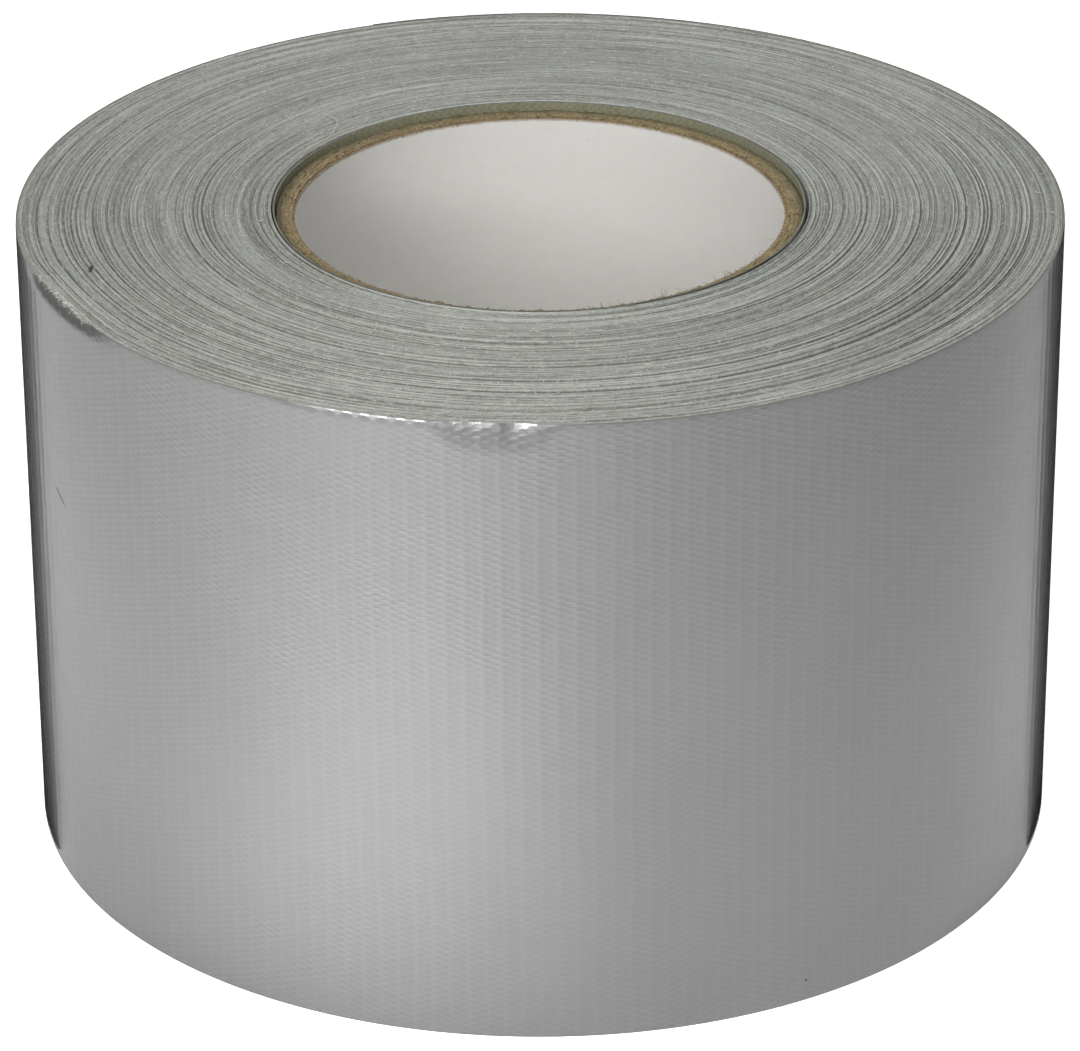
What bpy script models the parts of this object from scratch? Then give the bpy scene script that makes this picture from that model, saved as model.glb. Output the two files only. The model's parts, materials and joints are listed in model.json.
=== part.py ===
"""Duct tape roll: a spiral-wound paper core, the wound tape, and a free end that peels back.

Metres, +Z up. The origin is on the roll's axis, at the level of the face it rests on.
The roll is a 4 inch wide, 60 yard roll of 0.28 mm cloth tape on a 3 inch core.
"""
import math

import bmesh
import bpy

MM = 0.001

# ---- driving dimensions (mm, degrees) ----
TAPE_WIDTH = 101.6          # 4 inch tape, the roll's height
ROLL_RADIUS = 81.4          # outside of the last turn at the foot of the free end
TAPE_INNER_RADIUS = 41.0    # adhesive face of the first turn
TURNS = 143                 # turns of 0.28 mm tape between those two radii

FILM = 0.10                 # polyethylene backing film
SCRIM = 0.04                # woven cloth
ADHESIVE = 0.10             # rubber adhesive
BOND = 0.02                 # clearance that keeps bonded layers apart
TURN_PITCH = FILM + SCRIM + ADHESIVE + 3 * BOND

CORE_BORE_RADIUS = 38.1     # 3 inch bore
CORE_LENGTH = 100.0
CORE_BOTTOM = 0.3           # the core sits inside the tape's edges at both ends
LINER = 0.26                # white paper ply that lines the bore
KRAFT = 0.61                # one ply of brown board
KRAFT_PLIES = 4
PLY_BOND = 0.03
SEAM_PITCH = 108.0          # axial rise of a ply's butt seam in one turn
SEAM_GAP = 0.8
SEAM_STEP = 15.0            # degrees between the slit's own corners

PACKS = 8                   # groups of turns between the first turn and the last
PACK_GAP = 0.05

FACETS = 72                 # every round piece has these facets, in the same phase
STEP = 360.0 / FACETS
TAIL_ROOT = 70.0            # direction of the foot of the free end, from +X
TAIL_SEGMENTS = 4
TAIL_SEGMENT_STEPS = 2      # facets in one segment of the free end
TAIL_GAP = 0.1              # clearance on each side of a fold line


def clear_scene():
    for obj in list(bpy.data.objects):
        bpy.data.objects.remove(obj, do_unlink=True)


def make_collection(name):
    collection = bpy.data.collections.new(name)
    bpy.context.scene.collection.children.link(collection)
    return collection


def make_material(name, colour, roughness, metallic=0.0):
    material = bpy.data.materials.new(name)
    material.use_nodes = True
    shader = material.node_tree.nodes["Principled BSDF"]
    shader.inputs["Base Color"].default_value = (*colour, 1.0)
    shader.inputs["Roughness"].default_value = roughness
    shader.inputs["Metallic"].default_value = metallic
    return material


def film_material():
    return make_material("silver_film", (0.37, 0.38, 0.36), 0.42, 0.15)


def scrim_material():
    return make_material("woven_scrim", (0.62, 0.62, 0.58), 0.85)


def adhesive_material():
    return make_material("olive_adhesive", (0.24, 0.22, 0.13), 0.55)


def wound_edge_material():
    return make_material("wound_tape", (0.30, 0.31, 0.285), 0.5, 0.1)


def kraft_material():
    return make_material("brown_board", (0.27, 0.17, 0.085), 0.9)


def liner_material():
    return make_material("white_paper", (0.62, 0.61, 0.58), 0.85)


def new_object(name, mesh_builder, collection, material=None):
    """An object whose mesh is built by a function of a bmesh."""
    mesh = bpy.data.meshes.new(name)
    shape = bmesh.new()
    mesh_builder(shape)
    shape.to_mesh(mesh)
    shape.free()
    obj = bpy.data.objects.new(name, mesh)
    collection.objects.link(obj)
    if material:
        mesh.materials.append(material)
    return obj


def shade_round(obj):
    obj.data.shade_smooth()
    obj.data.set_sharp_from_angle(angle=math.radians(30))


def ring(name, inner, outer, bottom, top, collection, material):
    """A tube turned from a rectangle that runs down its outer side."""
    corners = [(outer, top), (outer, bottom), (inner, bottom), (inner, top)]

    def profile(shape):
        verts = [shape.verts.new((r * MM, 0.0, z * MM)) for r, z in corners]
        for first, second in zip(verts, verts[1:] + verts[:1]):
            shape.edges.new((first, second))

    obj = new_object(name, profile, collection, material)
    screw = obj.modifiers.new("turn", "SCREW")
    screw.axis = "Z"
    screw.angle = math.tau
    screw.steps = FACETS
    screw.render_steps = FACETS
    screw.use_merge_vertices = True
    screw.merge_threshold = 0.00001
    screw.use_smooth_shade = False
    return obj


def seam_cutter(name, inner, outer, start, collection):
    """A helical ribbon that slits a ply from end to end, less than one turn long."""
    bottom = CORE_BOTTOM - 2.0
    rise = CORE_LENGTH + 4.0
    sweep = 360.0 * rise / SEAM_PITCH
    half = SEAM_GAP / 2
    corners = [(inner - 1.0, -half), (outer + 1.0, -half), (outer + 1.0, half), (inner - 1.0, half)]
    direction = math.radians(start)

    def ribbon(shape):
        verts = [shape.verts.new((r * MM * math.cos(direction), r * MM * math.sin(direction),
                                  (bottom + z) * MM)) for r, z in corners]
        face = shape.faces.new(verts)
        steps = round(sweep / SEAM_STEP)
        bmesh.ops.spin(shape, geom=[face, *face.edges, *face.verts], cent=(0, 0, 0),
                       axis=(0, 0, 1), dvec=(0, 0, rise / steps * MM),
                       angle=math.radians(steps * SEAM_STEP), steps=steps)
        bmesh.ops.recalc_face_normals(shape, faces=shape.faces)

    cutter = new_object(name, ribbon, collection)
    cutter.hide_render = True
    cutter.display_type = "WIRE"
    return cutter


def ply(name, inner, thickness, seam_start, collection, cutters, material):
    """One spiral-wound ply of the core: a tube slit along its butt seam."""
    outer = inner + thickness
    obj = ring(name, inner, outer, CORE_BOTTOM, CORE_BOTTOM + CORE_LENGTH, collection, material)
    cut = obj.modifiers.new("butt_seam", "BOOLEAN")
    cut.operation = "DIFFERENCE"
    cut.solver = "EXACT"
    cut.object = seam_cutter(name + "_seam", inner, outer, seam_start, cutters)
    return obj


def spiral_point(angle, foot_angle, foot_radius):
    """A point of the faceted spiral whose radius is foot_radius (mm) at foot_angle."""
    low = math.floor(angle / STEP + 1e-6) * STEP
    share = (angle - low) / STEP
    ends = []
    for corner in (low, low + STEP):
        radius = foot_radius + TURN_PITCH * (corner - foot_angle) / 360.0
        direction = math.radians(corner)
        ends.append((radius * math.cos(direction), radius * math.sin(direction)))
    return tuple(a + share * (b - a) for a, b in zip(*ends))


def strip_angles(start, end):
    first = math.ceil(start / STEP + 1e-6) * STEP
    inside = []
    angle = first
    while angle < end - 1e-6:
        inside.append(angle)
        angle += STEP
    return [start, *inside, end]


def strip_layer(name, start, end, foot_angle, foot_radius, thickness, origin,
                collection, material):
    """One layer of the tape: a sheet on the spiral from start to end, thickened inwards.

    foot_radius is the layer's outer radius at foot_angle. The object's origin is at origin.
    """
    path = [spiral_point(angle, foot_angle, foot_radius) for angle in strip_angles(start, end)]

    def sheet(shape):
        verts = [shape.verts.new((x * MM - origin[0], y * MM - origin[1], 0.0)) for x, y in path]
        edges = [shape.edges.new(pair) for pair in zip(verts, verts[1:])]
        raised = bmesh.ops.extrude_edge_only(shape, edges=edges)
        top = [item for item in raised["geom"] if isinstance(item, bmesh.types.BMVert)]
        bmesh.ops.translate(shape, verts=top, vec=(0, 0, TAPE_WIDTH * MM))
        shape.normal_update()
        middle = shape.faces[:][0]
        centre = middle.calc_center_median()
        away = (centre.x + origin[0], centre.y + origin[1], 0.0)
        if middle.normal.x * away[0] + middle.normal.y * away[1] < 0:
            bmesh.ops.reverse_faces(shape, faces=shape.faces)

    obj = new_object(name, sheet, collection, material)
    obj.location = (origin[0], origin[1], 0.0)
    shell = obj.modifiers.new("thickness", "SOLIDIFY")
    shell.thickness = thickness * MM
    shell.offset = -1.0
    shell.use_even_offset = True
    return obj


def tape_stretch(name, start, end, foot_angle, foot_radius, origin, collection, materials):
    """The three bonded layers of one stretch of tape, from the film inwards."""
    layers = [("film", FILM), ("scrim", SCRIM), ("adhesive", ADHESIVE)]
    depth = 0.0
    objects = []
    for layer, thickness in layers:
        objects.append(strip_layer(f"{name}_{layer}", start, end, foot_angle,
                                   foot_radius - depth, thickness, origin,
                                   collection, materials[layer]))
        depth += thickness + BOND
    return objects


def build_core(collection, cutters):
    ply("core_liner", CORE_BORE_RADIUS, LINER, 22.5, collection, cutters, liner_material())
    board = kraft_material()
    inner = CORE_BORE_RADIUS + LINER + PLY_BOND
    for number in range(1, KRAFT_PLIES + 1):
        seam = 22.5 + 85.0 * number
        ply(f"core_kraft_ply_{number}", inner, KRAFT, seam, collection, cutters, board)
        inner += KRAFT + PLY_BOND


def build_packs(collection):
    """The turns between the first and the last, in groups that stand for about 18 each."""
    inner = TAPE_INNER_RADIUS + 2 * TURN_PITCH
    outer = ROLL_RADIUS - 2 * TURN_PITCH
    share = (outer - inner) / PACKS
    middle_turns = TURNS - 2
    material = wound_edge_material()
    for index in range(PACKS):
        first = 2 + round(middle_turns * index / PACKS)
        last = 1 + round(middle_turns * (index + 1) / PACKS)
        low = inner + share * index + PACK_GAP / 2
        high = inner + share * (index + 1) - PACK_GAP / 2
        ring(f"turns_{first:03d}_to_{last:03d}", low, high, 0.0, TAPE_WIDTH, collection, material)


def build_tape_ends(collection, materials):
    """The first turn on the core, and the last turn that runs under the free end."""
    foot = ROLL_RADIUS
    start_radius = TAPE_INNER_RADIUS + TURN_PITCH - BOND
    tape_stretch("first_turn", -TAIL_ROOT, 360.0 - TAIL_ROOT, -TAIL_ROOT, start_radius,
                 (0.0, 0.0), collection, materials)
    gap = math.degrees(TAIL_GAP / ROLL_RADIUS)
    tape_stretch("last_turn", TAIL_ROOT - 360.0 + gap, TAIL_ROOT - gap, TAIL_ROOT, foot,
                 (0.0, 0.0), collection, materials)


def build_tail(collection, materials):
    """The free end, folded along upright lines on the outside of the film.

    Each segment's origin is on its fold line, and it hangs from the segment before it.
    """
    gap = math.degrees(TAIL_GAP / ROLL_RADIUS)
    sweep = TAIL_SEGMENT_STEPS * STEP
    for number in range(1, TAIL_SEGMENTS + 1):
        start = TAIL_ROOT + sweep * (number - 1)
        fold = spiral_point(start, TAIL_ROOT, ROLL_RADIUS)
        origin = (fold[0] * MM, fold[1] * MM)
        end_gap = gap if number < TAIL_SEGMENTS else 0.0
        tape_stretch(f"tail_{number}", start + gap, start + sweep - end_gap, TAIL_ROOT,
                     ROLL_RADIUS, origin, collection, materials)


def main():
    clear_scene()
    roll = make_collection("duct_tape_roll")
    cutters = make_collection("cutters")
    layers = {"film": film_material(), "scrim": scrim_material(), "adhesive": adhesive_material()}
    build_core(roll, cutters)
    build_packs(roll)
    build_tape_ends(roll, layers)
    build_tail(roll, layers)
    for obj in roll.objects:
        shade_round(obj)


main()
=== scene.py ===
"""Looks of the duct tape roll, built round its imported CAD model.

Lengths are in millimetres until a mesh is made, and angles are in degrees from +X,
anticlockwise seen from above. The front of the roll, which the camera faces, is -Y.
"""
import json
import math

import bpy
import numpy as np
from mathutils import Matrix, Vector


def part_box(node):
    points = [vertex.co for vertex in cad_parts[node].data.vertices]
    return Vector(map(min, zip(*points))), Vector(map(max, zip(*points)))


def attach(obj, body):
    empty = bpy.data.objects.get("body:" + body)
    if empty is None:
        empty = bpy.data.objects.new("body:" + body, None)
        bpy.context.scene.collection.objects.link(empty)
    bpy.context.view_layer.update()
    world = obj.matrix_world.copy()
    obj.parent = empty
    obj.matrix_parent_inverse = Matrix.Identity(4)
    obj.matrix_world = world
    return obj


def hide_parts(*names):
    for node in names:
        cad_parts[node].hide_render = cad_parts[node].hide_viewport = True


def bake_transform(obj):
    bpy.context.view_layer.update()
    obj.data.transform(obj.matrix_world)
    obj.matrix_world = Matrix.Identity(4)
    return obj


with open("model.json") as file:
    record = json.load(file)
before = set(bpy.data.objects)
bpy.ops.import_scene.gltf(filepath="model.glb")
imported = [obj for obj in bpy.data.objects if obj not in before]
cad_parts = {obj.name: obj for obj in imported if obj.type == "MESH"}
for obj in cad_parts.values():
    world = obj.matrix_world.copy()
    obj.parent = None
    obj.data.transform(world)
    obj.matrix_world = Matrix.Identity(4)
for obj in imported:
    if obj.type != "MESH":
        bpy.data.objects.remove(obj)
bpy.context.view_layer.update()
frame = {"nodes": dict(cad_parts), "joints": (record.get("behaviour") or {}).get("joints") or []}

MM = 0.001

# ---- what the CAD says ----
JOINTS = frame["joints"]
FOLDS = [math.degrees(math.atan2(j["pos_m"][1], j["pos_m"][0])) for j in JOINTS]
ROOT = FOLDS[0]                                     # where the free end leaves the roll
ROOT_RADIUS = math.hypot(*JOINTS[0]["pos_m"][:2]) / MM
TAIL_END = FOLDS[-1] + (FOLDS[-1] - FOLDS[0]) / (len(FOLDS) - 1)
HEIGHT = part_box("last_turn_film")[1].z / MM
FIRST_FOOT = -ROOT                                  # where the first turn starts on the core
PACK_NODES = sorted(n for n in frame["nodes"] if n.startswith("turns_"))


def node_radius(node):
    """The outer radius of a ring, which has a corner on +X."""
    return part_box(node)[1].x / MM


FIRST_RADIUS = 41.3                                 # film of the first turn, at its foot
TURN_PITCH = 0.3
FILM, SCRIM, ADHESIVE = 0.10, 0.04, 0.10
BOND = 0.02

PACK_COLUMNS = 400          # corners round a turn
PACK_SAMPLES = 3            # corners across a turn
WRAP_STEP = 0.19            # degrees between the film's corners, ten to a rib
RIB_PITCH = 2.73            # the cloth's pitch round the roll
ROW_PITCH = 1.04            # and up it
RIB_RELIEF = 0.007          # half of how far a rib stands under the film
RIM_ROUGH = 0.012           # unevenness of a layer's cut upper rim
LAYER_INSET = {"film": 0.0, "cloth": 0.05, "glue": 0.03}    # a rim's distance inside the film's

# Marks on the roll. Angles are degrees from the front, positive towards +X; heights in mm.
CRUSH_LEFT, CRUSH_RIGHT = -75.0, -49.0      # the rim that was knocked in
CRUSH_DEPTH, CRUSH_REACH = 1.15, 1.9        # how far in, and how far down
NICK_AT, NICK_HALF = -4.6, 7.0              # the dent in the film
NICK_DEPTH, NICK_REACH = 1.0, 4.4
WORN_LEFT, WORN_RIGHT = -30, 3              # the rim that was rubbed round
CURL, WORN_CURL, CURL_REACH = 0.06, 0.20, 1.15
SCUFF = (math.radians(-154.4) * ROOT_RADIUS, 68.3)          # along the tape, and up it
DARK_FLAKE = [(-159.5, 72.6)]               # degrees from +X, and radius
CRUMBS = [(-85.2, 76.4), (-84.6, 75.9)]


# ---- meshes ----
def grid_object(name, points, faces, uv=None, relief=None):
    """A mesh object from points in mm, a list of faces and each point's place on the tape."""
    mesh = bpy.data.meshes.new(name)
    sizes = np.array([len(f) for f in faces], np.int32)
    loops = np.concatenate([np.asarray(f, np.int32) for f in faces])
    starts = np.concatenate([[0], np.cumsum(sizes)[:-1]]).astype(np.int32)
    mesh.vertices.add(len(points))
    mesh.vertices.foreach_set("co", (np.asarray(points) * MM).astype(np.float32).ravel())
    mesh.loops.add(len(loops))
    mesh.loops.foreach_set("vertex_index", loops)
    mesh.polygons.add(len(sizes))
    mesh.polygons.foreach_set("loop_start", starts)
    mesh.polygons.foreach_set("loop_total", sizes)
    if uv is not None:
        layer = mesh.uv_layers.new(name="Wrap")
        layer.data.foreach_set("uv", (np.asarray(uv)[loops] * MM).astype(np.float32).ravel())
    mesh.update(calc_edges=True)
    mesh.validate()
    # The rise is stored for slit_edges, which paints shade and highlight from it.
    if relief is not None:
        mesh.attributes.new("Relief", "FLOAT", "POINT").data.foreach_set(
            "value", np.asarray(relief, np.float32))
    mesh.shade_smooth()
    obj = bpy.data.objects.new(name, mesh)
    bpy.context.scene.collection.objects.link(obj)
    return obj


def swept(name, sections, uv=None, sharp=40.0):
    """A closed solid through sections, an array of (section, corner, xyz)."""
    count, corners, _ = sections.shape
    index = np.arange(count * corners).reshape(count, corners)
    here, there = index[:-1], index[1:]
    quads = np.stack([here, there, np.roll(there, -1, 1), np.roll(here, -1, 1)], -1)
    faces = [*quads.reshape(-1, 4), index[0][::1], index[-1][::-1]]
    points = sections.reshape(-1, 3)
    obj = grid_object(name, points, faces, None if uv is None else uv.reshape(-1, 2))
    obj.data.set_sharp_from_angle(angle=math.radians(sharp))
    return obj


def polar(angle, radius, height):
    a = np.radians(angle)
    return np.stack(np.broadcast_arrays(radius * np.cos(a), radius * np.sin(a), height), -1)


def smooth(x):
    x = np.clip(x, 0.0, 1.0)
    return x * x * (3 - 2 * x)


def wander(rng, count, knots):
    """A smooth random line of count values with the given number of knots."""
    values = rng.normal(size=max(int(knots), 2) + 1)
    at = np.linspace(0, len(values) - 1, count)
    low = np.minimum(at.astype(int), len(values) - 2)
    share = smooth(at - low)
    return values[low] * (1 - share) + values[low + 1] * share


# ---- knocks on the upper rim ----
def from_front(angle):
    return (np.asarray(angle, float) + 90 + 180) % 360 - 180


_wrinkle = wander(np.random.default_rng(5), 720, 150)


def pressed(angle, radius, height):
    """Moves points of the tape where the upper rim was knocked, curled or rubbed."""
    front = from_front(angle)
    depth = np.maximum(HEIGHT - height, 0.0)
    wrinkle = np.interp(front, np.linspace(-180, 180, len(_wrinkle)), _wrinkle)
    near = np.clip((radius - (ROOT_RADIUS - 14)) / 14, 0, 1.02)

    flank = smooth((front - CRUSH_LEFT) / 9) * smooth((CRUSH_RIGHT - front) / 11)
    crush = flank * CRUSH_DEPTH * (1 + 0.05 * wrinkle)
    crush = crush * near ** 2.2 * np.clip(1 - depth / CRUSH_REACH, 0, 1) ** 1.4

    inside = np.clip(1 - ((front - NICK_AT) / NICK_HALF) ** 2, 0, 1)
    nick_height = NICK_REACH * np.sqrt(inside) + 1e-6
    lean = NICK_DEPTH * inside * np.clip(1 - depth / nick_height, 0, 1) ** 1.2
    lean = lean * (1 + 0.16 * wrinkle) * np.clip((radius - (ROOT_RADIUS - 3)) / 3, 0, 1) ** 2

    worn = smooth((front - WORN_LEFT) / 6) * smooth((WORN_RIGHT - front) / 4)
    curl = (CURL + WORN_CURL * worn * (1 - 0.6 * inside)) * (1 + 0.1 * wrinkle)
    curl = curl * np.clip(1 - depth / CURL_REACH, 0, 1) ** 2
    curl = curl * np.clip((radius - (ROOT_RADIUS - 1.0)) / 1.0, 0, 1)
    sunk = 0.28 * crush * near ** 3 + 0.12 * lean
    return radius - crush - lean - curl, height - sunk


def placed(angle, radius, height):
    r, z = pressed(angle, radius, height)
    return polar(angle, r, z)


# ---- the strip of tape ----
def spiral_radius(angle, foot, foot_radius):
    return foot_radius + TURN_PITCH * (angle - foot) / 360.0


def rim_rows(fine):
    """Heights of a layer's corners, close together at the rims where it bends."""
    steps = np.array([0, 0.12, 0.25, 0.4, 0.6, 0.9, 1.3, 1.8, 2.4, 3.1, 3.9, 4.9, 6.2, 8.0]
                     if fine else [0, 0.4, 1.3, 3.0, 6.0])
    low = np.array([0, 0.15, 0.6, 2.0, 6.0] if fine else [0, 2.0])
    middle = np.arange(14.0, HEIGHT - 8, 9.0) if fine else np.array([20.0, 60.0])
    return np.unique(np.concatenate([HEIGHT - steps, middle, low]))[::-1]


def ribs(arc):
    """The cloth's relief under the film, as far as it shows in the outline."""
    return RIB_RELIEF * np.cos(2 * np.pi * arc / RIB_PITCH)


def layer(name, start, end, step, outer, thickness, top=0.0, foot=None, fine=True,
          ragged=0.0, seed=1, relief=False):
    """One layer of the tape from start to end. outer is its outer radius at foot.

    top is how far its rims stay inside the tape's, and ragged is how uneven its torn end is.
    """
    foot = ROOT if foot is None else foot
    count = max(int(round((end - start) / step)), 2) + 1
    angles = np.linspace(start, end, count)[:, None]
    rows, back = rim_rows(fine), rim_rows(False)[::-1]
    heights = np.concatenate([rows, back])[None, :]
    rng = np.random.default_rng(seed)
    if ragged:
        edge = ragged * (wander(rng, 200, 60) + 0.4 * rng.normal(size=200))
        shift = np.interp(heights, np.linspace(0, HEIGHT, 200), edge)
        angles = angles + np.degrees(shift / ROOT_RADIUS) * smooth((angles - end + 2.5) / 2.5)
    radius = spiral_radius(angles, foot, outer) + 0 * heights
    is_back = np.arange(heights.shape[1])[None, :] >= len(rows)
    arc = np.radians(angles) * ROOT_RADIUS + 0 * heights
    if relief:
        radius = radius + np.where(is_back, 0, ribs(arc))
    radius = np.where(is_back, radius - thickness, radius)
    inset = top * (heights > HEIGHT / 2) - top * (heights < HEIGHT / 2)
    inset = inset * ((heights > HEIGHT - 0.01) | (heights < 0.01))
    rub = RIM_ROUGH * rng.normal(size=(count, 1)) * (heights > HEIGHT - 0.01)
    z = heights - inset + rub
    points = placed(angles + 0 * heights, radius, z)
    uv = np.stack([arc, heights + 0 * arc], -1)
    return swept(name, points[:, ::-1], uv[:, ::-1])


def tape_stretch(label, start, end, foot, foot_radius, film_step=2.0, step=1.0, fine=False,
                 ragged=0.0):
    """Film, scrim and adhesive of one stretch, as three objects."""
    film = layer(f"{label}_film", start, end, film_step, foot_radius, FILM,
                 LAYER_INSET["film"], foot, fine, ragged, 11, relief=fine)
    inner = foot_radius - FILM - BOND
    scrim = layer(f"{label}_cloth", start, end, step, inner, SCRIM,
                  LAYER_INSET["cloth"], foot, False, ragged * 1.6, 12)
    inner -= SCRIM + BOND
    glue = layer(f"{label}_glue", start, end, step, inner, ADHESIVE,
                 LAYER_INSET["glue"], foot, False, ragged * 0.7, 13)
    return film, scrim, glue


# ---- the wound turns, as one long spiral divided into packs ----
TURN_COUNT = 141
STANDING_TURNS = 110        # stretches of turns that stand clearly higher or lower
LOWEST_EDGE = -0.2          # how far the strand's lower edge may stand below the roll
PACK_INNER = FIRST_RADIUS + 0.31
PACK_OUTER = spiral_radius(ROOT - 360, ROOT, ROOT_RADIUS) - FILM - SCRIM - ADHESIVE - 3 * BOND
STRAND_PITCH = (PACK_OUTER - PACK_INNER) / TURN_COUNT


def strand_heights(seed):
    """How far the slit edge of the strip stands proud, along the whole wound strand."""
    rng = np.random.default_rng(seed)
    count = (TURN_COUNT + 1) * PACK_COLUMNS
    turns = np.arange(count) / PACK_COLUMNS
    height = 0.030 * wander(rng, count, TURN_COUNT * 3) + 0.050 * wander(rng, count, TURN_COUNT)
    for _ in range(STANDING_TURNS):
        middle = rng.uniform(1, TURN_COUNT - 1)
        half = rng.uniform(0.25, 0.9)
        size = rng.uniform(0.10, 0.28) * (-1 if rng.random() < 0.55 else 0.75)
        height += size * np.exp(-np.abs((turns - middle) / half) ** 4)
    edge = smooth((TURN_COUNT - turns) / 3) * smooth(turns / 2)
    from_back = 0.5 - 0.5 * np.cos(np.radians(ROOT - 90) + 2 * np.pi * turns)
    calm = 0.45 + 0.55 * from_back
    return np.clip(height, -0.34, 0.28) * (0.15 + 0.85 * edge) * calm * 0.8


STRANDS = {1: strand_heights(21), -1: strand_heights(22)}


def pack(name, first, last, seed):
    """Turns first to last of the strand, counted from 0, with their slit edges at both ends."""
    rng = np.random.default_rng(seed)
    columns, per = PACK_COLUMNS, PACK_SAMPLES
    across = (last - first) * per
    j = np.arange(across + 1)[:, None]
    a = np.arange(columns + 1)[None, :]
    turn = first + j // per
    angle = ROOT + 360.0 * a / columns
    along = first + j / per + a / columns
    radius = PACK_INNER + STRAND_PITCH * along
    radius = radius + np.where(j == 0, 0.006, 0) - np.where(j == across, 0.006, 0)
    ends, relief = [], []
    for side in (1, -1):
        strand = STRANDS[side]
        at = np.clip(turn * columns + a, 0, len(strand) - 1)
        own, before = strand[at], strand[np.maximum(at - columns, 0)]
        after = strand[np.minimum(at + columns, len(strand) - 1)]
        dip = np.where(j % per == 0, np.minimum(own, before) - 0.045, own - 0.012 * (j % per == 1))
        rub = 0.006 * rng.normal(size=dip.shape)
        rub[:, -1] = np.concatenate([rub[per:, 0], rub[-per:, 0]])
        proud = dip + rub
        # Each turn's rise over its neighbours, lowered by 0.12 at the groove between turns;
        # slit_edges paints shade and highlight from it.
        relief.append(own - (before + after) / 2 - np.where(j % per == 0, 0.12, 0.0))
        if side > 0:
            points = placed(angle + 0 * radius, radius, HEIGHT + proud)
        else:
            points = polar(angle + 0 * radius, radius, -proud)
            points[..., 2] = np.maximum(points[..., 2], LOWEST_EDGE)
        ends.append(points)
    # A column's last corner is the next turn's first, so those are one vertex.
    index = np.full((across + 1, columns + 1), -1)
    index[:, :columns] = np.arange((across + 1) * columns).reshape(across + 1, columns)
    index[:across + 1 - per, columns] = index[per:, 0]
    extra = (across + 1) * columns
    index[across + 1 - per:, columns] = extra + np.arange(per)
    size = extra + per
    top = np.zeros((size, 3))
    bottom = np.zeros((size, 3))
    place = np.zeros((size, 2))
    shade_and_highlight_rise = np.zeros((2, size))
    arc = np.radians(angle) * radius
    laid_out = np.stack([arc, radius], -1)
    for target, source in (*zip((top, bottom), ends), *zip(shade_and_highlight_rise, relief), (place, laid_out)):
        target[index[:, columns]] = source[:, columns]
        target[index[:, :columns]] = source[:, :columns]
    quads = np.stack([index[:-1, :-1], index[1:, :-1], index[1:, 1:], index[:-1, 1:]], -1)
    quads = quads.reshape(-1, 4)
    outer = [*index[across, :], *index[across - per:across, columns][::-1]][:-1]
    inner = [*index[0, :], *index[0:per, 0][::-1]][:-1]
    walls = []
    for loop, turned in ((outer, False), (inner, True)):
        loop = np.array(loop)
        following = np.roll(loop, -1)
        wall = np.stack([loop, loop + size, following + size, following], -1)
        walls.append(wall[:, ::-1] if turned else wall)
    faces = np.concatenate([quads, quads[:, ::-1] + size, *walls])
    obj = grid_object(name, np.concatenate([top, bottom]), faces,
                      np.concatenate([place, place + [0, 200.0]]), shade_and_highlight_rise.ravel())
    obj.data.set_sharp_from_angle(angle=math.radians(60))
    return obj


# ---- the core ----
SEAM_PITCH = 108.0          # rise of a ply's seam in one turn
LINER, KRAFT = 0.26, 0.61   # thickness of the plies
FIRST_SEAM, SEAM_APART = 22.5, 85
BOARD_EDGE = 38.35          # where the brown board starts, behind the lining
BORE_ARC = 38.0             # the radius that the core's UV map is laid out on
CORE_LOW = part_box("core_liner")[0].z / MM
CORE_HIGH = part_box("core_liner")[1].z / MM


def ply(outer, thickness, seam, rough, seed, gap=0.35, sunk=0.0):
    """One spiral-wound ply: a tube with a slit along its butt seam and a sawn edge.

    rough is the unevenness of the sawn edge, and sunk is how far that lies inside the core's.
    """
    rng = np.random.default_rng(seed)
    columns = 480
    slit = 360 * gap / SEAM_PITCH
    rise = np.array([0, 0.12, 0.35, 0.7, 1.1, 1.5, 2.0, 3.0, 6.0, 12.0, 20.0])
    middle = np.arange(CORE_LOW + 20, CORE_HIGH - 21, 6.0)
    rows = np.unique(np.concatenate([CORE_LOW + rise, middle, CORE_HIGH - rise]))[::-1]
    heights = np.concatenate([rows, rows[::-1]])[None, :]
    is_back = np.arange(heights.shape[1])[None, :] < len(rows)
    turn = 360.0 * (heights - (CORE_LOW - 2.0)) / SEAM_PITCH
    angle = seam + turn + slit / 2 + (360 - slit) * np.arange(columns)[:, None] / (columns - 1)
    radius = np.where(is_back, outer, outer - thickness) + 0 * angle
    where = (angle % 360) / 360 * 2000
    lip = np.interp(where, np.arange(2000), rough * wander(rng, 2000, 330))
    lip = lip + rough * 0.5 * rng.normal(size=angle.shape)
    at_top = np.clip(1 - (CORE_HIGH - heights) / 0.3, 0, 1)
    at_rim = at_top - np.clip(1 - (heights - CORE_LOW) / 0.3, 0, 1)
    z = heights + (np.clip(lip, -0.3, 0.2) - sunk) * at_rim
    return angle, radius, z, heights


def build_ply(name, *args, crease=False, **more):
    """A ply as an object. crease adds the lining's fold at the back and its slight swells."""
    angle, radius, z, heights = ply(*args, **more)
    if crease:
        back = (angle - 90 + 180) % 360 - 180
        depth = CORE_HIGH - heights
        mark = smooth((back + 12) / 6) * smooth((55 - back) / 12)
        line = np.exp(-((depth - 1.35) / 0.28) ** 2)
        radius = radius - 0.035 * mark * line
        swell = 0.10 * np.sin(np.radians(3 * angle + 40)) + 0.06 * np.sin(np.radians(7 * angle))
        radius = radius - 0.4 * np.abs(swell) * np.clip(1 - depth / 30, 0, 1)
    points = polar(angle, radius, z)
    uv = np.stack([np.radians(angle) * BORE_ARC, heights + 0 * angle], -1)
    return swept(name, points[:, ::-1], uv[:, ::-1])


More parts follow.
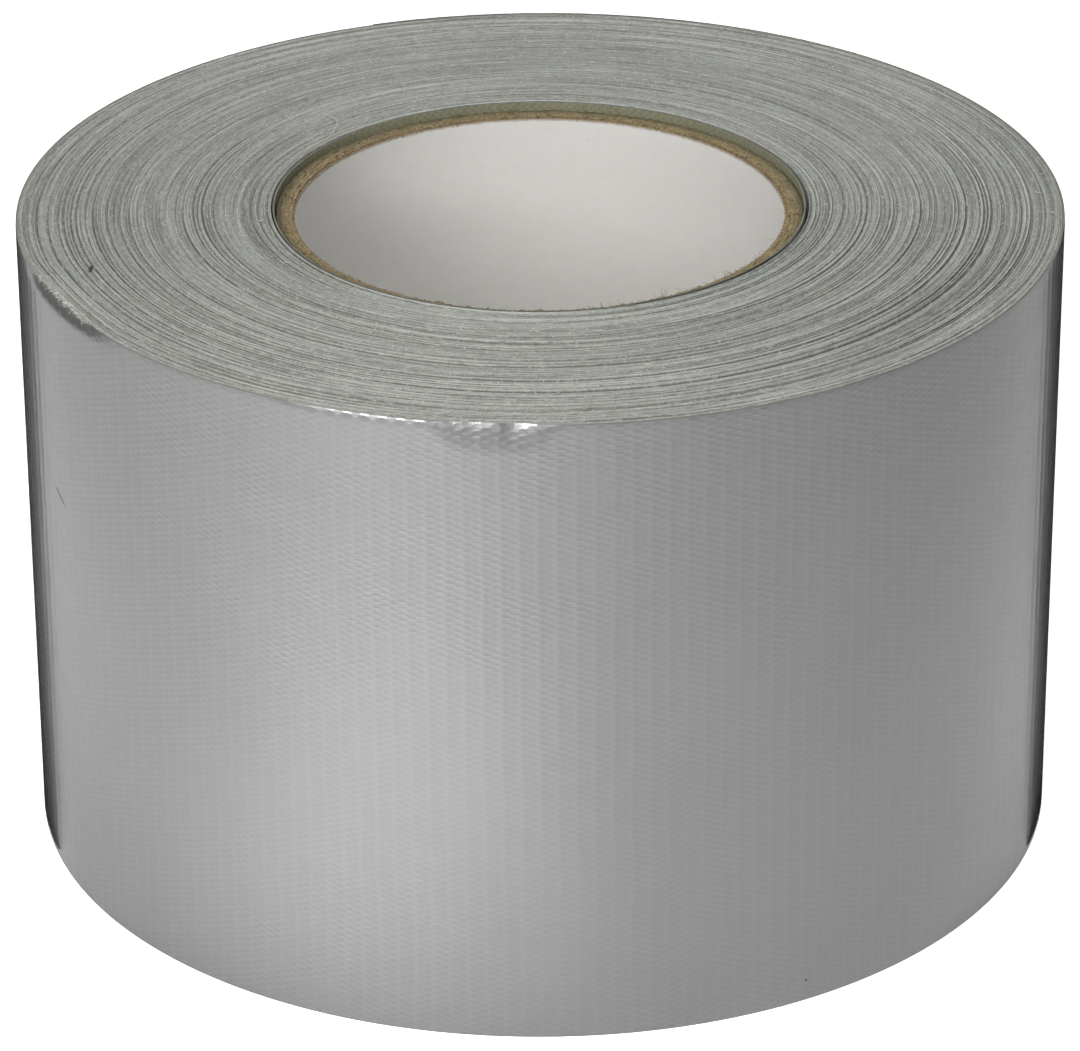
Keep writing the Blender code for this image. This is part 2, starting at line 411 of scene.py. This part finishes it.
# ---- loose fibres ----
def fibres(name, paths, radius, sides=5):
    """Thin tapered threads along paths, each an array of points in mm."""
    points, faces, start = [], [], 0
    for path in paths:
        path = np.asarray(path, float)
        along = np.gradient(path, axis=0)
        along /= np.linalg.norm(along, axis=1, keepdims=True)
        guide = np.array([0.3, 0.2, 0.93]) if abs(along[0, 2]) < 0.8 else np.array([1.0, 0.1, 0])
        side = np.cross(along, guide)
        side /= np.linalg.norm(side, axis=1, keepdims=True)
        up = np.cross(along, side)
        taper = radius * (1 - 0.6 * np.linspace(0, 1, len(path)) ** 2)
        for k in range(sides):
            w = 2 * np.pi * k / sides
            points.append(path + (math.cos(w) * side + math.sin(w) * up) * taper[:, None])
        n = len(path)
        for i in range(n - 1):
            for k in range(sides):
                m = (k + 1) % sides
                faces.append([start + k * n + i, start + m * n + i,
                              start + m * n + i + 1, start + k * n + i + 1])
        faces.append([start + k * n for k in range(sides)][::-1])
        faces.append([start + k * n + n - 1 for k in range(sides)])
        start += n * sides
    return grid_object(name, np.concatenate(points), faces)


def curled(rng, root, direction, length, droop=0.3, steps=6):
    """A short bent fibre from root."""
    direction = np.asarray(direction, float)
    direction /= np.linalg.norm(direction)
    bend = rng.normal(size=3) * 0.7
    t = np.linspace(0, 1, steps)[:, None]
    path = root + length * (t * direction + 0.5 * t ** 2 * bend)
    path[:, 2] -= droop * length * t[:, 0] ** 2
    return path


def rim_threads():
    """Cloth threads and film shreds along the crushed stretch of the rim."""
    rng = np.random.default_rng(31)
    paths = []
    for _ in range(230):
        front = rng.triangular(-74, -62, -52)
        angle = front - 90 + 360
        r, z = pressed(np.array(angle), np.array(ROOT_RADIUS - rng.uniform(0.05, 1.1)),
                       np.array(HEIGHT))
        root = polar(np.array(angle), r, z + rng.uniform(-0.15, 0.05))
        out = polar(np.array(angle + rng.normal(0, 45)), 1.0, rng.uniform(-0.1, 0.5))
        paths.append(curled(rng, root, out, rng.uniform(0.25, 0.9)))
    for _ in range(150):
        angle = rng.uniform(0, 360)
        radius = rng.uniform(FIRST_RADIUS, ROOT_RADIUS)
        r, z = pressed(np.array(angle), np.array(radius), np.array(HEIGHT))
        root = polar(np.array(angle), r, z - 0.02)
        out = polar(np.array(angle + rng.choice([-90, 90]) + rng.normal(0, 30)), 1.0,
                    rng.uniform(0.05, 0.4))
        paths.append(curled(rng, root, out, rng.uniform(0.2, 0.6)))
    return fibres("rim_threads", paths, 0.035)


def core_fuzz():
    """Paper fibres that stand up from the sawn end of the board."""
    rng = np.random.default_rng(32)
    paths = []
    for _ in range(700):
        angle = rng.uniform(0, 360)
        radius = BOARD_EDGE + 2.5 * rng.random() ** 1.8
        root = polar(np.array(angle), radius, CORE_HIGH - 0.06)
        out = polar(np.array(angle + 180 + rng.normal(0, 70)), 1.0, rng.uniform(0.1, 1.1))
        paths.append(curled(rng, root, out, rng.uniform(0.15, 0.6)))
    # Longer hairs on the near side, towards +X.
    for _ in range(130):
        angle = rng.uniform(-80, 5)
        root = polar(np.array(angle), BOARD_EDGE + 0.8 * rng.random(), CORE_HIGH - 0.05)
        out = polar(np.array(angle + 180 + rng.normal(0, 50)), 0.8, rng.uniform(0.3, 1.6))
        paths.append(curled(rng, root, out, rng.uniform(0.5, 1.3)))
    # One tuft on the +X side.
    for _ in range(26):
        angle = -2.8 + rng.normal(0, 0.8)
        root = polar(np.array(angle), rng.uniform(38.7, 40.4), CORE_HIGH)
        out = polar(np.array(rng.uniform(0, 360)), 1.0, rng.uniform(0.2, 1.5))
        paths.append(curled(rng, root, out, rng.uniform(0.4, 1.1)))
    return fibres("core_fuzz", paths, 0.042)


def core_crumbs():
    """Dark torn bits along the board's inner edge, which overhang the lining."""
    rng = np.random.default_rng(35)
    paths = []
    for _ in range(620):
        angle = rng.uniform(0, 360)
        lift = rng.uniform(-0.3, 0.0)
        root = polar(np.array(angle), BOARD_EDGE - 0.05 + 0.3 * rng.random(), CORE_HIGH + lift)
        out = polar(np.array(angle + 180 + rng.normal(0, 60)), 1.0, rng.uniform(-0.8, 0.3))
        paths.append(curled(rng, root, out, rng.uniform(0.15, 0.42), 0.4, 4))
    return fibres("core_crumbs", paths, 0.085)


def lint():
    """Pale specks of thread on the wound edges."""
    rng = np.random.default_rng(34)
    paths = []
    for _ in range(70):
        angle = rng.uniform(0, 360)
        radius = rng.uniform(FIRST_RADIUS + 2, ROOT_RADIUS - 1)
        root = polar(np.array(angle), radius, HEIGHT + 0.05)
        out = polar(np.array(rng.uniform(0, 360)), 1.0, rng.uniform(-0.05, 0.15))
        paths.append(curled(rng, root, out, rng.uniform(0.25, 0.7), 0.1))
    return fibres("lint", paths, 0.065)


def flakes(name, spots, size):
    """Small flat crumbs on the wound edges, each at an angle and a radius."""
    paths = []
    for angle, radius in spots:
        middle = polar(np.array(angle), radius, HEIGHT + 0.06)
        ahead = polar(np.array(angle + 63), 1.0, 0.0)
        t = np.linspace(-1, 1, 5)[:, None]
        paths.append(middle + size * t * ahead + [0, 0, 0.08] * (1 - t ** 2))
    return fibres(name, paths, size * 0.42, 7)


def stray_hair():
    """One long pale fibre that lies across the wound edges, near the core."""
    t = np.linspace(0, 1, 30)
    x = -34.6 + 2.4 * np.sin(np.pi * t) * (1 - 0.4 * t) + 0.6 * t
    y = 36.4 - 10.8 * t
    z = HEIGHT + 0.12 + 0.7 * np.sin(np.pi * t) ** 2
    return fibres("stray_hair", [np.stack([x, y, z], -1)], 0.075, 6)


def end_threads():
    """Cloth threads that stick out of the torn free end."""
    rng = np.random.default_rng(33)
    paths = []
    for row in np.arange(0.8, HEIGHT - 0.5, ROW_PITCH):
        if rng.random() < 0.35:
            continue
        angle = TAIL_END - 0.25
        radius = spiral_radius(angle, ROOT, ROOT_RADIUS) - FILM - BOND - SCRIM / 2
        root = polar(np.array(angle), radius, row)
        ahead = polar(np.array(angle + 90), 1.0, rng.normal(0, 0.12))
        path = curled(rng, root, ahead, rng.uniform(0.35, 1.5), 0.15, 7)
        flat = np.hypot(path[:, 0], path[:, 1])
        keep = np.maximum(flat, radius) / flat
        path[:, :2] *= keep[:, None]
        paths.append(path)
    return fibres("end_threads", paths, 0.03)


# ---- materials ----
class Tree:
    """A small helper that adds nodes to one material."""

    def __init__(self, name):
        self.material = bpy.data.materials.new(name)
        self.material.use_nodes = True
        self.nodes = self.material.node_tree.nodes
        self.links = self.material.node_tree.links
        self.shader = self.nodes["Principled BSDF"]

    def feed(self, socket, value):
        if isinstance(value, bpy.types.NodeSocket):
            self.links.new(value, socket)
        else:
            socket.default_value = value

    def math(self, operation, *values):
        node = self.nodes.new("ShaderNodeMath")
        node.operation = operation
        for socket, value in zip(node.inputs, values):
            self.feed(socket, value)
        return node.outputs[0]

    def place(self):
        """The place on the tape, in mm: along it, and across it."""
        node = self.nodes.new("ShaderNodeUVMap")
        node.uv_map = "Wrap"
        scaled = self.nodes.new("ShaderNodeVectorMath")
        scaled.operation = "SCALE"
        self.feed(scaled.inputs[0], node.outputs[0])
        scaled.inputs["Scale"].default_value = 1 / MM
        return scaled.outputs[0]

    def own_place(self):
        """The place in the object's own space, in mm."""
        node = self.nodes.new("ShaderNodeTexCoord")
        scaled = self.nodes.new("ShaderNodeVectorMath")
        scaled.operation = "SCALE"
        self.feed(scaled.inputs[0], node.outputs["Object"])
        scaled.inputs["Scale"].default_value = 1 / MM
        return scaled.outputs[0]

    def split(self, vector):
        node = self.nodes.new("ShaderNodeSeparateXYZ")
        self.feed(node.inputs[0], vector)
        return node.outputs

    def stretch(self, vector, x, y, z=1.0):
        node = self.nodes.new("ShaderNodeVectorMath")
        node.operation = "MULTIPLY"
        self.feed(node.inputs[0], vector)
        node.inputs[1].default_value = (x, y, z)
        return node.outputs[0]

    def length(self, vector):
        node = self.nodes.new("ShaderNodeVectorMath")
        node.operation = "LENGTH"
        self.feed(node.inputs[0], vector)
        return node.outputs["Value"]

    def join(self, vector, direction, value):
        """The vector with value added along one direction."""
        node = self.nodes.new("ShaderNodeVectorMath")
        node.operation = "MULTIPLY_ADD"
        node.inputs[0].default_value = direction
        self.feed(node.inputs[1], value)
        self.feed(node.inputs[2], vector)
        return node.outputs[0]

    def attribute(self, name):
        node = self.nodes.new("ShaderNodeAttribute")
        node.attribute_name = name
        return node.outputs["Fac"]

    def noise(self, vector, scale, detail=2.0, rough=0.5):
        node = self.nodes.new("ShaderNodeTexNoise")
        self.feed(node.inputs["Vector"], vector)
        node.inputs["Scale"].default_value = scale
        node.inputs["Detail"].default_value = detail
        node.inputs["Roughness"].default_value = rough
        return node.outputs["Fac"]

    def flecks(self, vector, scale, size):
        """1 in small round spots, one to a cell, and 0 elsewhere."""
        node = self.nodes.new("ShaderNodeTexVoronoi")
        self.feed(node.inputs["Vector"], vector)
        node.inputs["Scale"].default_value = scale
        near = self.math("LESS_THAN", node.outputs["Distance"], size)
        chosen = self.math("GREATER_THAN", self.split(node.outputs["Color"])[0], 0.72)
        return self.math("MULTIPLY", near, chosen)

    def remap(self, value, low, high, to_low, to_high):
        node = self.nodes.new("ShaderNodeMapRange")
        for socket, given in zip(node.inputs, (value, low, high, to_low, to_high)):
            self.feed(socket, given)
        return node.outputs[0]

    def mix(self, share, first, second):
        node = self.nodes.new("ShaderNodeMix")
        node.data_type = "RGBA"
        self.feed(node.inputs["Factor"], share)
        for name, colour in (("A", first), ("B", second)):
            socket = next(s for s in node.inputs if s.name == name and s.type == "RGBA")
            self.feed(socket, colour if isinstance(colour, bpy.types.NodeSocket) else (*colour, 1))
        return next(s for s in node.outputs if s.type == "RGBA")

    def bump(self, height, distance, strength=1.0, under=None):
        node = self.nodes.new("ShaderNodeBump")
        node.inputs["Strength"].default_value = strength
        node.inputs["Distance"].default_value = distance * MM
        self.feed(node.inputs["Height"], height)
        if under is not None:
            self.feed(node.inputs["Normal"], under)
        return node.outputs[0]

    def finish(self, colour, roughness, normal=None, metallic=0.0):
        self.feed(self.shader.inputs["Base Color"], colour)
        self.feed(self.shader.inputs["Roughness"], roughness)
        self.feed(self.shader.inputs["Metallic"], metallic)
        if normal is not None:
            self.feed(self.shader.inputs["Normal"], normal)
        return self.material


def cloth_relief(t, place):
    """The weave that shows through the tape: narrow ribs up it, and staggered short dashes."""
    waver = t.math("MULTIPLY", t.math("SUBTRACT", t.noise(place, 0.09, 2.0), 0.5), 1.1)
    axes = t.split(place)
    u = t.math("MULTIPLY", t.math("ADD", axes[0], waver), 2 * math.pi / RIB_PITCH)
    column = t.math("SINE", u)
    side = t.math("SIGN", column)
    sag = t.math("MULTIPLY", t.math("ABSOLUTE", t.math("COSINE", u)), 0.5)
    v = t.math("MULTIPLY", t.math("ADD", axes[1], t.math("MULTIPLY", waver, 0.3)),
               2 * math.pi / ROW_PITCH)
    row = t.math("MULTIPLY", t.math("COSINE", t.math("ADD", v, sag)), side)
    row = t.math("POWER", t.math("MULTIPLY_ADD", row, 0.5, 0.5), 2.5)
    dashes = t.math("MULTIPLY", row, t.math("POWER", t.math("ABSOLUTE", column), 0.6))
    rib = t.math("POWER", t.math("MULTIPLY_ADD", t.math("COSINE", u), 0.5, 0.5), 4.0)
    lesser = t.math("POWER", t.math("MULTIPLY_ADD", t.math("COSINE", u), -0.5, 0.5), 6.0)
    ribs_up = t.math("ADD", t.math("MULTIPLY", rib, 0.60), t.math("MULTIPLY", lesser, 0.30))
    worn = t.remap(t.noise(place, 0.16, 3.0), 0.3, 0.7, 0.35, 1.3)
    return t.math("ADD", t.math("MULTIPLY", dashes, worn), ribs_up)


def film_finish():
    t = Tree("satin_silver_film")
    place = t.place()
    cloth = cloth_relief(t, place)
    fine = t.noise(place, 2.2, 3.0)
    mottle = t.noise(t.stretch(place, 1.0, 0.6), 0.05, 4.0)
    axes = t.split(place)
    # One scuff on the left of the roll.
    along = t.math("ADD", t.math("MULTIPLY", t.math("SUBTRACT", axes[0], SCUFF[0]), 0.9),
                   t.math("MULTIPLY", t.math("SUBTRACT", axes[1], SCUFF[1]), -0.44))
    over = t.math("ADD", t.math("MULTIPLY", t.math("SUBTRACT", axes[0], SCUFF[0]), 0.44),
                  t.math("MULTIPLY", t.math("SUBTRACT", axes[1], SCUFF[1]), 0.9))
    reach = t.math("ADD", t.math("POWER", t.math("DIVIDE", along, 2.6), 2.0),
                   t.math("POWER", t.math("DIVIDE", over, 0.50), 2.0))
    scuff = t.remap(t.math("ADD", reach, t.math("MULTIPLY", fine, 0.5)), 0.5, 1.2, 1.0, 0.0)
    light = t.mix(mottle, (0.252, 0.258, 0.254), (0.295, 0.301, 0.294))
    colour = t.mix(t.remap(cloth, -0.3, 1.0, 0.0, 0.32), light, (0.385, 0.394, 0.385))
    colour = t.mix(scuff, colour, (0.10, 0.10, 0.095))
    specks = t.flecks(place, 0.07, 0.016)
    colour = t.mix(specks, colour, (0.09, 0.09, 0.08))
    rough = t.remap(t.math("ADD", t.noise(place, 0.35, 3.0), t.math("MULTIPLY", cloth, 0.15)),
                    0.3, 0.8, 0.37, 0.29)
    height = t.math("ADD", cloth, t.math("MULTIPLY", fine, 0.22))
    t.shader.inputs["Coat Weight"].default_value = 1.0
    t.shader.inputs["Coat Roughness"].default_value = 0.12
    relief = t.bump(height, 0.030)
    t.feed(t.shader.inputs["Coat Normal"], relief)
    return t.finish(colour, rough, relief, 0.65)


def wound_finish():
    """The slit edges: rings of standing and sunk turns, cut threads, and crumbs of adhesive, with
    painted shade in sunk turns and in the grooves between turns and a painted highlight on standing
    turns.
    """
    t = Tree("slit_edges")
    axes = t.split(t.place())
    ring = t.join(t.stretch(t.own_place(), 0.035, 0.035, 0.0), (0.0, 0.0, 1.0), axes[1])
    here = t.join(t.stretch(t.own_place(), 1.0, 1.0, 0.0), (0.0, 0.0, 1.0), axes[1])
    relief = t.attribute("Relief")
    turn = t.noise(t.stretch(ring, 1.0, 1.0, 3.4), 1.0, 1.0, 0.6)
    bands = t.noise(t.stretch(ring, 1.0, 1.0, 0.9), 1.0, 2.0, 0.6)
    dashes = t.noise(t.stretch(here, 0.55, 0.55, 3.0), 1.0, 2.0, 0.6)
    grain = t.noise(t.stretch(here, 1.25, 1.25, 1.6), 1.6, 3.0, 0.7)
    colour = t.mix(t.remap(bands, 0.3, 0.7, 0.0, 1.0), (0.268, 0.278, 0.252), (0.329, 0.340, 0.313))
    colour = t.mix(t.remap(turn, 0.47, 0.30, 0.0, 0.75), colour, (0.108, 0.113, 0.097))
    colour = t.mix(t.remap(turn, 0.56, 0.70, 0.0, 0.80), colour, (0.470, 0.484, 0.446))
    # Painted shade, partly dust, darkens the sunk turns and the grooves between turns; a painted
    # highlight lightens the turns that stand proud.
    colour = t.mix(t.remap(relief, -0.05, -0.20, 0.0, 0.85), colour, (0.080, 0.085, 0.070))
    colour = t.mix(t.remap(relief, 0.04, 0.18, 0.0, 0.75), colour, (0.489, 0.503, 0.465))
    colour = t.mix(t.remap(dashes, 0.55, 0.70, 0.0, 0.55), colour, (0.442, 0.451, 0.418))
    colour = t.mix(t.remap(dashes, 0.45, 0.31, 0.0, 0.50), colour, (0.132, 0.136, 0.117))
    colour = t.mix(t.remap(grain, 0.57, 0.70, 0.0, 0.70), colour, (0.545, 0.555, 0.522))
    colour = t.mix(t.remap(grain, 0.42, 0.30, 0.0, 0.60), colour, (0.113, 0.117, 0.102))
    crumbs = t.flecks(here, 0.16, 0.05)
    colour = t.mix(t.math("MULTIPLY", crumbs, 0.8), colour, (0.207, 0.197, 0.103))
    height = t.math("ADD", grain, t.math("MULTIPLY", dashes, 0.8))
    return t.finish(colour, t.remap(grain, 0.3, 0.7, 0.78, 0.58), t.bump(height, 0.08), 0.05)


def cloth_finish():
    t = Tree("woven_cloth")
    place = t.place()
    cloth = cloth_relief(t, place)
    threads = t.noise(t.stretch(place, 1.0, 6.0), 2.0, 3.0)
    colour = t.mix(threads, (0.36, 0.365, 0.335), (0.56, 0.565, 0.53))
    return t.finish(colour, 0.85, t.bump(t.math("ADD", cloth, threads), 0.05))


def glue_finish():
    t = Tree("olive_adhesive_face")
    place = t.place()
    cloth = cloth_relief(t, place)
    lumps = t.noise(place, 0.5, 4.0)
    colour = t.mix(lumps, (0.150, 0.148, 0.080), (0.255, 0.250, 0.165))
    colour = t.mix(t.remap(cloth, 0.0, 1.0, 0.0, 0.45), colour, (0.36, 0.36, 0.29))
    height = t.math("ADD", t.math("MULTIPLY", cloth, 0.8), lumps)
    return t.finish(colour, t.remap(lumps, 0.3, 0.7, 0.32, 0.5), t.bump(height, 0.05))


def board_finish():
    t = Tree("kraft_board")
    place = t.own_place()
    fibre = t.noise(t.stretch(place, 1.0, 1.0, 0.35), 3.0, 4.0, 0.7)
    grit = t.noise(place, 2.2, 3.0, 0.75)
    patch = t.noise(place, 0.22, 3.0)
    colour = t.mix(t.remap(fibre, 0.3, 0.7, 0.0, 1.0), (0.150, 0.112, 0.048), (0.42, 0.335, 0.185))
    colour = t.mix(t.remap(patch, 0.42, 0.70, 0.0, 0.65), colour, (0.19, 0.165, 0.085))
    colour = t.mix(t.remap(grit, 0.47, 0.34, 0.0, 0.85), colour, (0.085, 0.050, 0.026))
    colour = t.mix(t.remap(grit, 0.58, 0.70, 0.0, 0.70), colour, (0.56, 0.46, 0.30))
    # Painted shadow: the board's end darkens towards its outer rim, where the tape's first turns
    # shade it.
    out = t.math("ADD", t.length(t.stretch(place, 1.0, 1.0, 0.0)), t.math("MULTIPLY", fibre, 0.6))
    colour = t.mix(t.remap(out, 39.9, 41.0, 0.0, 0.75), colour, (0.080, 0.076, 0.044))
    height = t.math("ADD", fibre, grit)
    return t.finish(colour, 0.92, t.bump(height, 0.22))


def paper_finish():
    t = Tree("white_lining_paper")
    place = t.place()
    pulp = t.noise(place, 0.4, 5.0, 0.6)
    fibre = t.noise(t.stretch(place, 2.4, 0.7), 1.2, 3.0)
    colour = t.mix(pulp, (0.685, 0.675, 0.645), (0.755, 0.747, 0.72))
    flecks = t.flecks(place, 0.35, 0.05)
    colour = t.mix(t.math("MULTIPLY", flecks, 0.35), colour, (0.38, 0.33, 0.26))
    # The sawn rims are stained by the board.
    from_middle = t.math("ABSOLUTE", t.math("SUBTRACT", t.split(t.own_place())[2],
                                                (CORE_HIGH + CORE_LOW) / 2))
    rim = (CORE_HIGH - CORE_LOW) / 2 - 0.1
    edge = t.math("ADD", from_middle, t.math("MULTIPLY", t.noise(place, 1.5, 3.0), 0.5))
    colour = t.mix(t.remap(edge, rim - 0.45, rim + 0.1, 0.0, 1.0), colour, (0.26, 0.19, 0.105))
    height = t.math("ADD", t.math("MULTIPLY", pulp, 0.7), t.math("MULTIPLY", fibre, 0.5))
    return t.finish(colour, t.remap(pulp, 0.3, 0.7, 0.72, 0.86), t.bump(height, 0.035))


def thread_finish(name, dark, pale):
    t = Tree(name)
    place = t.own_place()
    colour = t.mix(t.remap(t.noise(place, 0.8, 2.0), 0.35, 0.65, 0.0, 1.0), dark, pale)
    return t.finish(colour, 0.7, t.bump(t.noise(place, 9.0, 2.0), 0.02))


# ---- the object ----
def give(objs, material, body=None):
    for obj in objs if isinstance(objs, (list, tuple)) else [objs]:
        obj.data.materials.clear()
        obj.data.materials.append(material)
        if body:
            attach(obj, body)


def build():
    film, cloth, glue = film_finish(), cloth_finish(), glue_finish()
    wound, board, paper = wound_finish(), board_finish(), paper_finish()
    pale = thread_finish("pale_thread", (0.42, 0.43, 0.38), (0.66, 0.67, 0.62))
    black = thread_finish("dark_grit", (0.028, 0.026, 0.022), (0.065, 0.058, 0.048))
    dark = thread_finish("torn_board", (0.050, 0.028, 0.018), (0.22, 0.14, 0.075))
    brown = thread_finish("board_fibre", (0.20, 0.13, 0.07), (0.50, 0.38, 0.22))
    layers = (("film", film, "silver_film"), ("scrim", cloth, "woven_scrim"),
              ("adhesive", glue, "olive_adhesive"))

    liner = build_ply("core_lining", node_radius("core_liner"), LINER, FIRST_SEAM, 0.05, 41,
                      crease=True, sunk=0.22)
    give(liner, paper, "roll")
    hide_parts("core_liner")
    for number in range(1, 5):
        node = f"core_kraft_ply_{number}"
        piece = build_ply(f"kraft_ply_{number}", node_radius(node), KRAFT,
                          FIRST_SEAM + SEAM_APART * number, 0.085, 41 + number)
        give(piece, board, "roll")
        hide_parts(node)

    first = tape_stretch("inner_wrap", FIRST_FOOT, 360 + FIRST_FOOT, FIRST_FOOT, FIRST_RADIUS)
    for piece, (word, material, slot) in zip(first, layers):
        give(piece, material, "roll")
        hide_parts(f"first_turn_{word}")

    done = 0
    for number, node in enumerate(PACK_NODES, 1):
        last = int(node.split("_")[-1]) - 1
        piece = pack("wound_" + node, done, last, 50 + number)
        give(piece, wound, "roll")
        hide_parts(node)
        done = last

    share = (FOLDS[1] - FOLDS[0]) / 2
    leave = ROOT - 4.0
    last = tape_stretch("outer_wrap", ROOT - 360 + 0.1, leave, ROOT, ROOT_RADIUS, WRAP_STEP,
                        0.5, fine=True)
    for piece, (word, material, slot) in zip(last, layers):
        give(piece, material, "roll")
        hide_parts(f"last_turn_{word}")
    stops = [leave, *(fold + share for fold in FOLDS), TAIL_END]
    bodies = ["roll", "tail_1", "tail_2", "tail_3", "tail_4"]
    for part in range(5):
        start, end = stops[part], stops[part + 1]
        pieces = tape_stretch(f"free_end_{part + 1}", start, end, ROOT, ROOT_RADIUS, WRAP_STEP,
                              0.5, fine=True, ragged=0.25 if part == 4 else 0.0)
        for piece, (word, material, slot) in zip(pieces, layers):
            give(piece, material)
            if part < 4:
                ends = [polar(np.array(a), ROOT_RADIUS * MM, HEIGHT / 2 * MM) for a in (start, end)]
                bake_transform(piece)
                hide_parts(f"{bodies[part + 1]}_{word}")
            else:
                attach(piece, "tail_4")
    give(end_threads(), pale, "tail_4")
    give(rim_threads(), pale, "roll")
    give(stray_hair(), pale, "roll")
    give(lint(), pale, "roll")
    give(core_crumbs(), dark, "roll")
    give(flakes("dark_flake", DARK_FLAKE, 0.75), black, "roll")
    give(flakes("adhesive_crumbs", CRUMBS, 0.42), glue, "roll")
    give(core_fuzz(), brown, "roll")


# ---- the studio ----
def stage_plane(name, corners, material):
    mesh = bpy.data.meshes.new(name)
    mesh.from_pydata([Vector(c) for c in corners], [], [(0, 1, 2, 3)])
    obj = bpy.data.objects.new(name, mesh)
    bpy.context.scene.collection.objects.link(obj)
    mesh.materials.append(material)
    return obj


def floor_finish(name, glow=0.0):
    t = Tree(name)
    grain = t.noise(t.own_place(), 0.02, 3.0)
    colour = t.mix(grain, (0.86, 0.86, 0.86), (0.88, 0.88, 0.88))
    t.shader.inputs["Emission Color"].default_value = (1.0, 1.0, 1.0, 1.0)
    t.shader.inputs["Emission Strength"].default_value = glow
    return t.finish(colour, 0.9)


def black_card():
    t = Tree("black_card")
    t.shader.inputs["Specular IOR Level"].default_value = 0.0
    return t.finish((0.01, 0.01, 0.01, 1.0), 1.0)


def soft_light(name, azimuth, elevation, distance, size, power, tall=None):
    """An area light that looks at the roll's middle. Azimuth 0 is the camera's side."""
    a, e = math.radians(azimuth), math.radians(elevation)
    out = Vector((math.sin(a) * math.cos(e), -math.cos(a) * math.cos(e), math.sin(e)))
    data = bpy.data.lights.new(name, "AREA")
    data.shape = "RECTANGLE"
    data.size = size
    data.size_y = tall or size
    data.energy = power
    obj = bpy.data.objects.new(name, data)
    obj.location = Vector((0, 0, 0.05)) + out * distance
    obj.rotation_euler = (-out).to_track_quat("-Z", "Y").to_euler()
    bpy.context.scene.collection.objects.link(obj)
    return obj


def pool_light(name, azimuth, power):
    """A spot from above on the floor in front of the roll, which the film mirrors."""
    a = math.radians(azimuth)
    data = bpy.data.lights.new(name, "SPOT")
    data.energy = power
    data.spot_size = math.radians(26)
    data.spot_blend = 0.6
    data.shadow_soft_size = 0.03
    obj = bpy.data.objects.new(name, data)
    obj.location = (0.165 * math.sin(a), -0.165 * math.cos(a), 0.36)
    bpy.context.scene.collection.objects.link(obj)
    return obj


def build_backdrop():
    """A white floor and sky that only the camera sees, over a floor that only lights the roll."""
    world = bpy.data.worlds.new("studio")
    bpy.context.scene.world = world
    world.use_nodes = True
    sky = world.node_tree.nodes["Background"]
    sky.inputs["Color"].default_value = (1.0, 1.0, 1.0, 1.0)
    sky.inputs["Strength"].default_value = 1.0
    world.cycles_visibility.diffuse = False
    world.cycles_visibility.glossy = False
    half = 3.0
    corners = [(-half, -half), (half, -half), (half, half), (-half, half)]
    seen = stage_plane("floor", [(x, y, 0.0) for x, y in corners], floor_finish("white_floor", 0.75))
    seen.visible_diffuse = False
    seen.visible_glossy = False
    seen.visible_shadow = False
    under = stage_plane("bounce_floor", [(x, y, -0.0004) for x, y in corners],
                        floor_finish("bounce_floor"))
    under.visible_camera = False


def build_cards():
    """Black cards on the floor behind the roll's sides. The film mirrors them at its outline."""
    card = black_card()
    radius = ROOT_RADIUS * MM
    near_angle, spread, reach = math.radians(71.5), math.radians(33.0), 0.30
    near = (radius * math.sin(near_angle), -radius * math.cos(near_angle))
    far = (near[0] + reach * math.sin(spread), near[1] + reach * math.cos(spread))
    outline = [near, far, (radius, reach), (radius, 0.0)]
    for side, name in ((-1, "card_left"), (1, "card_right")):
        flag = stage_plane(name, [(side * x, y, 0.0008) for x, y in outline], card)
        flag.visible_camera = False
        flag.visible_diffuse = False
        flag.visible_shadow = False


def build_studio():
    build_backdrop()
    build_cards()
    soft_light("key", -30, 30, 0.55, 0.25, 2.0)
    soft_light("front", 45, 66, 0.55, 0.25, 1.3)
    soft_light("low_front", -25, 12, 1.0, 0.9, 0.9, 0.3)
    soft_light("rim_left", -150, 25, 1.0, 0.5, 1.6)
    soft_light("rim_right", 150, 25, 1.0, 0.5, 0.25)
    soft_light("top", 180, 75, 1.0, 0.6, 2.4)
    pool_light("pool_left", -40, 1.05)
    pool_light("pool_middle", -20, 2.8)
    bpy.context.scene.view_settings.view_transform = "Standard"


def build_camera():
    """The photograph's viewing angle: 26 degrees above the roll's middle, from -Y."""
    elevation, distance, twist = math.radians(26.07), 0.8771, math.radians(-0.296)
    data = bpy.data.cameras.new("camera")
    data.sensor_width = 36.0
    data.lens = 183.39
    data.shift_x, data.shift_y = -0.0011, -0.0278
    data.clip_start, data.clip_end = 0.01, 20.0
    camera = bpy.data.objects.new("camera", data)
    back = Vector((0, -math.cos(elevation), math.sin(elevation)))
    camera.location = Vector((0, 0, HEIGHT / 2 * MM)) + back * distance
    turned = (-back).to_track_quat("-Z", "Y").to_matrix().to_4x4()
    camera.rotation_euler = (turned @ Matrix.Rotation(twist, 4, "Z")).to_euler()
    bpy.context.scene.collection.objects.link(camera)
    bpy.context.scene.camera = camera


build()
build_studio()
build_camera()
